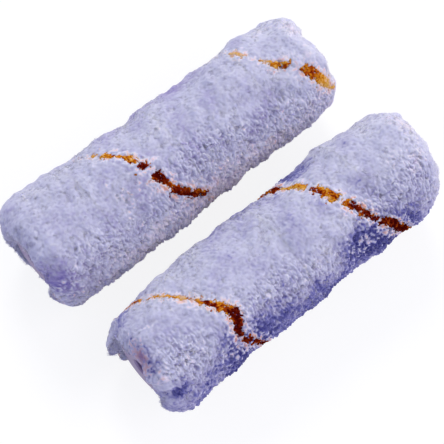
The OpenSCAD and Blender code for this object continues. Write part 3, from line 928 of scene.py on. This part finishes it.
def fibre_material(name, shade, tones, glow, sheen, gloss):
    """Fibres whose roots are darkened by a colour of painted shade. tones are stops from deep to pale.
    """
    material, tree, shader = new_material(name, {
        "Roughness": 0.75, "Sheen Weight": sheen, "Sheen Roughness": 0.5,
        "Specular IOR Level": gloss, "Subsurface Weight": glow,
        "Subsurface Scale": 0.6 * MM, "Subsurface Radius": (0.8, 0.8, 1.0)})
    uv = add_node(tree, "UVMap", {}, uv_map="OFBake").outputs["UV"]
    tone, along = add_node(tree, "SeparateXYZ", {"Vector": uv}).outputs[:2]
    tip = add_ramp(tree, tone, tones)
    share = add_ramp(tree, along, [(at, (much, much, much, 1)) for at, much in PAINTED_SHADE_SHARE])
    mix = add_node(tree, "Mix", {"Factor": share, "A": tip, "B": shade},
                   data_type="RGBA", blend_type="MULTIPLY")
    set_inputs(tree, shader, {"Base Color": mix.outputs["Result"]})
    return material


def object_noise(tree, scale, stretch):
    """Noise in the object's own metres."""
    place = tree.nodes.new("ShaderNodeTexCoord").outputs["Object"]
    mapped = add_node(tree, "Mapping", {"Vector": place, "Scale": stretch}).outputs["Vector"]
    noise = add_node(tree, "TexNoise", {"Vector": mapped, "Scale": scale, "Detail": 3.0})
    return noise.outputs["Fac"]


def plastic_material(name, dark, pale, roughness, scale, stretch=(1, 1, 1)):
    """Moulded or extruded plastic, slightly uneven in colour, gloss and surface."""
    material, tree, shader = new_material(name, {})
    cloud = object_noise(tree, scale, stretch)
    gloss = add_node(tree, "MapRange", {"Value": cloud, "To Min": roughness - 0.08,
                                        "To Max": roughness + 0.12})
    bump = add_node(tree, "Bump", {"Height": object_noise(tree, scale * 6, stretch),
                                   "Strength": 0.25, "Distance": 0.05 * MM})
    set_inputs(tree, shader, {"Base Color": add_ramp(tree, cloud, [(0.35, dark), (0.65, pale)]),
                              "Roughness": gloss.outputs["Result"],
                              "Normal": bump.outputs["Normal"]})
    return material


def dress_cad_nodes(side):
    """Gives the rigid pieces of a sleeve their finish. The core and bushes are a dark mauve, which
    is painted shade of the mouths' hollows.
    """
    finish = {
        # dark mauve core and bushes: painted shade of the mouths' hollows
        "core_tube": plastic_material(side + "_core_plastic_painted_shade", srgb(148, 126, 160),
                                      srgb(168, 148, 180), 0.5, 500, (0.15, 1, 1)),
        "near_bush": plastic_material(side + "_bush_plastic_painted_shade", srgb(142, 120, 158),
                                      srgb(162, 142, 178), 0.42, 700),
        "glue_film": plastic_material(side + "_hot_melt", srgb(186, 172, 140),
                                      srgb(212, 202, 178), 0.3, 900),
    }
    finish["far_bush"] = finish["near_bush"]
    for node, material in finish.items():
        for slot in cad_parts[f"{side}_{node}"].material_slots:
            slot.material = material


# ---- build

BLOCKS = 6  # pieces that the white fibres of one sleeve are split into
TUFT_GAP = 0.35 * MM  # that the white tufts keep from the gold


def white_fibres(sleeve, rng):
    """Lines, tones and radii of the white fibres."""
    p, angle = tuft_roots(sleeve, rng, TUFT_PITCH)
    off, width, shade = sleeve.from_stripe(p, angle)
    kept = np.abs(off) > width / 2 + TUFT_GAP * (width > 0)
    # no loose fibres where the mauve shade is painted
    kept &= sleeve.shade(PAINTED_MAUVE_SHADE, p, angle) < 0.5
    p, angle, off, width, shade = (values[kept] for values in (p, angle, off, width, shade))
    lines, tone, radius = fibre_lines(sleeve, p, angle, rng)
    beside = np.abs(off) - width / 2 + LOST_STRIPE * (width == 0)
    # painted warm bounce light from the gold on the fibres beside it
    tone = painted_gold_bounce_tone(rng, np.repeat(beside, FIBRES), np.repeat(shade, FIBRES), tone)
    return lines, np.clip(tone, UV_LOW, UV_HIGH), radius


def gold_fibres(sleeve, rng):
    """Lines, tones and radii of the gold fibres."""
    p, angle = tuft_roots(sleeve, rng, GOLD_PITCH)
    off, width, shade = sleeve.from_stripe(p, angle)
    kept = (np.abs(off) < width / 2) & (sleeve.from_mouth(p) > NEAR_MOUTH / 2)
    p, angle, shade = p[kept], angle[kept], shade[kept]
    lines, tone, radius = fibre_lines(sleeve, p, angle, rng, reach=0.35, sink=0.05 * MM)
    mottle = GOLD_MOTTLE * Waves(SEED["gold"], 0.6 * MM, 50)(p, angle)
    tone = np.repeat(shade + mottle, FIBRES) + rng.normal(0, 0.10, len(tone))
    return lines, np.clip(tone, UV_LOW, UV_HIGH), radius


def dress(sleeve, looks):
    """Makes a sleeve's pile and backing, and gives back their pieces."""
    side = sleeve.side
    body = side + "_sleeve"
    sleeve.set_wander(plain_tree(sleeve))
    rng = np.random.default_rng(SEED["draws"] + sleeve.seed)
    made = []

    def add(piece, material, node):
        """Gives a piece its material and body, hides the CAD node that it stands in for, and keeps it.
        """
        piece.data.materials.append(looks[material])
        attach(piece, body)
        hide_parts(f"{side}_{node}")
        made.append(piece)

    relief = Relief(sleeve, rng)
    for part in make_white_body(sleeve, relief):
        add(part, side + "_white", "white_pile")
    lines, tone, radius = white_fibres(sleeve, rng)
    block = ((lines[:, 0, 0] - sleeve.centre[0]) / (2 * sleeve.half) + 0.5) * BLOCKS
    block = np.clip(block, 0, BLOCKS - 1).astype(int)
    for k in range(BLOCKS):
        mine = block == k
        tufts = make_tufts(f"{side}_white_tufts_{k + 1}", lines[mine], tone[mine], radius[mine])
        add(tufts, side + "_white", "white_pile")
    lines, tone, radius = gold_fibres(sleeve, rng)
    sleeve.gold_lines = lines
    add(make_tufts(side + "_gold_tufts", lines, tone, radius), "gold", "gold_stripe")
    add(make_gold_body(side + "_gold_body", sleeve, relief), "gold", "gold_stripe")
    add(make_knit(side + "_backing_knit", sleeve), "knit", "backing_cloth")
    dress_cad_nodes(side)
    return made


# ---- stage and light

FLOOR_SEEN = 0.18  # share of the floor's brightness that its shadow can take away
FLOOR_GLOW = 0.86  # the rest, which lights nothing
SKY = (0.40, 0.43, 0.61, 1)  # the world's light, which the camera doesn't see
# Soft lamps: name, the way towards each, strength, spread in degrees, colour.
LAMPS = [("key", (0.40, 0.61, 0.68), 1.25, 20, (1.0, 0.96, 0.87)),
         ("fill", (0.45, -0.62, 0.64), 1.12, 60, (1.0, 0.92, 0.87))]


def camera_switch(tree, seen, unseen):
    """One colour for the camera, gloss and glass, and another for light that bounces."""
    path = tree.nodes.new("ShaderNodeLightPath").outputs
    share = path["Is Camera Ray"]
    for kind in ("Is Glossy Ray", "Is Transmission Ray"):
        most = add_node(tree, "Math", {0: share, 1: path[kind]}, operation="MAXIMUM")
        share = most.outputs["Value"]
    mix = add_node(tree, "Mix", {"Factor": share, "A": unseen, "B": seen}, data_type="RGBA")
    return mix.outputs["Result"]


def make_stage():
    bpy.ops.mesh.primitive_plane_add(size=6)
    floor = bpy.context.object
    floor.name = "floor"
    material, tree, shader = new_material("floor", {
        "Roughness": 1.0, "Specular IOR Level": 0.0, "Emission Strength": 1.0})
    set_inputs(tree, shader, {
        "Base Color": camera_switch(tree, (FLOOR_SEEN,) * 3 + (1,), srgb(226, 220, 236)),
        "Emission Color": camera_switch(tree, (FLOOR_GLOW,) * 3 + (1,), (0, 0, 0, 1))})
    floor.data.materials.append(material)


def add_sun(name, towards, energy, spread, colour):
    light = bpy.data.lights.new(name, "SUN")
    light.color = colour
    light.energy = energy
    light.angle = radians(spread)
    lamp = new_object(name, light)
    lamp.rotation_mode = "QUATERNION"
    lamp.rotation_quaternion = Vector(towards).to_track_quat("Z", "Y")


def make_lights():
    world = bpy.data.worlds.new("world")
    bpy.context.scene.world = world
    world.use_nodes = True
    tree = world.node_tree
    set_inputs(tree, tree.nodes["Background"],
               {"Color": camera_switch(tree, (1, 1, 1, 1), SKY)})
    for lamp in LAMPS:
        add_sun(*lamp)


# ---- image points as rendered

NEAR_POINT = 9  # how far round an image point the stripe's fibres count


def image_misses(pieces, sleeves):
    """How far in x and y each thing shows from its image point."""
    spots = []
    for piece in pieces:
        flat = np.empty(3 * len(piece.data.vertices), np.float32)
        piece.data.vertices.foreach_get("co", flat)
        spots.append(to_image(flat.reshape(-1, 3).astype(float)))
    spots = np.concatenate(spots)
    low, high = spots.min(axis=0), spots.max(axis=0)
    misses = {"left": [low[0] - EDGES["left"], 0], "right": [high[0] - EDGES["right"], 0],
              "top": [0, low[1] - EDGES["top"]], "bottom": [0, high[1] - EDGES["bottom"]]}
    for sleeve in sleeves:
        tips = sleeve.gold_lines[:, -3:].reshape(-1, 3)
        seen = to_image(tips)
        facing = (tips - sleeve.centre)[:, 1:] @ -FORWARD[1:] > 0
        for name, point in STRIPE_POINTS[sleeve.side].items():
            near = facing & (np.abs(seen - point).max(axis=1) < NEAR_POINT)
            middle = seen[near].mean(axis=0) if near.any() else np.array([W, H])
            misses[name] = list(middle - point)
    return {name: [round(float(v), 1) for v in miss] for name, miss in misses.items()}


# ---- the scene

make_camera()
make_lights()
make_stage()
# Stop 0.9 is the tone of the painted mauve shade, stop 1.0 the painted warm bounce light from the gold.
pale_tones = [(0.5, srgb(202, 202, 220)), (0.7, srgb(218, 219, 232)),
              (0.8, srgb(238, 230, 238)), (0.9, srgb(242, 214, 208)), (1.0, srgb(230, 162, 132))]
# The white pile's deep stops, 0 to 0.4, are painted shade: violet on the rear sleeve, navy on the
# front.
looks = {
    "rear_white": fibre_material("rear_white_pile", WHITE_ROOT_PAINTED_SHADE, [
        (0.0, srgb(112, 100, 172)), (0.25, srgb(168, 160, 200))] + pale_tones,
        glow=1.0, sheen=0.25, gloss=0.15),
    "front_white": fibre_material("front_white_pile", WHITE_ROOT_PAINTED_SHADE, [
        (0.0, srgb(56, 56, 130)), (0.22, srgb(126, 126, 182)),
        (0.4, srgb(186, 184, 210))] + pale_tones, glow=1.0, sheen=0.25, gloss=0.15),
    # the gold's dark stops are partly painted shade, for stretches of the stripe facing away from the
    # light
    "gold": fibre_material("gold_pile", GOLD_ROOT_PAINTED_SHADE, [
        (0.0, srgb(66, 6, 4)), (0.15, srgb(112, 24, 8)), (0.35, srgb(170, 70, 14)),
        (0.55, srgb(210, 134, 26)), (0.8, srgb(230, 178, 82)), (1.0, srgb(236, 196, 156))],
        glow=0.15, sheen=0.0, gloss=0.0),
    "knit": plastic_material("backing_knit", srgb(176, 170, 190), srgb(214, 208, 224), 0.85,
                             1200),
}
sleeves = [Sleeve(side) for side in SIDES]
pieces = []
for sleeve in sleeves:
    pieces += dress(sleeve, looks)

bpy.context.scene.view_settings.view_transform = "Standard"

image_misses(pieces, sleeves)
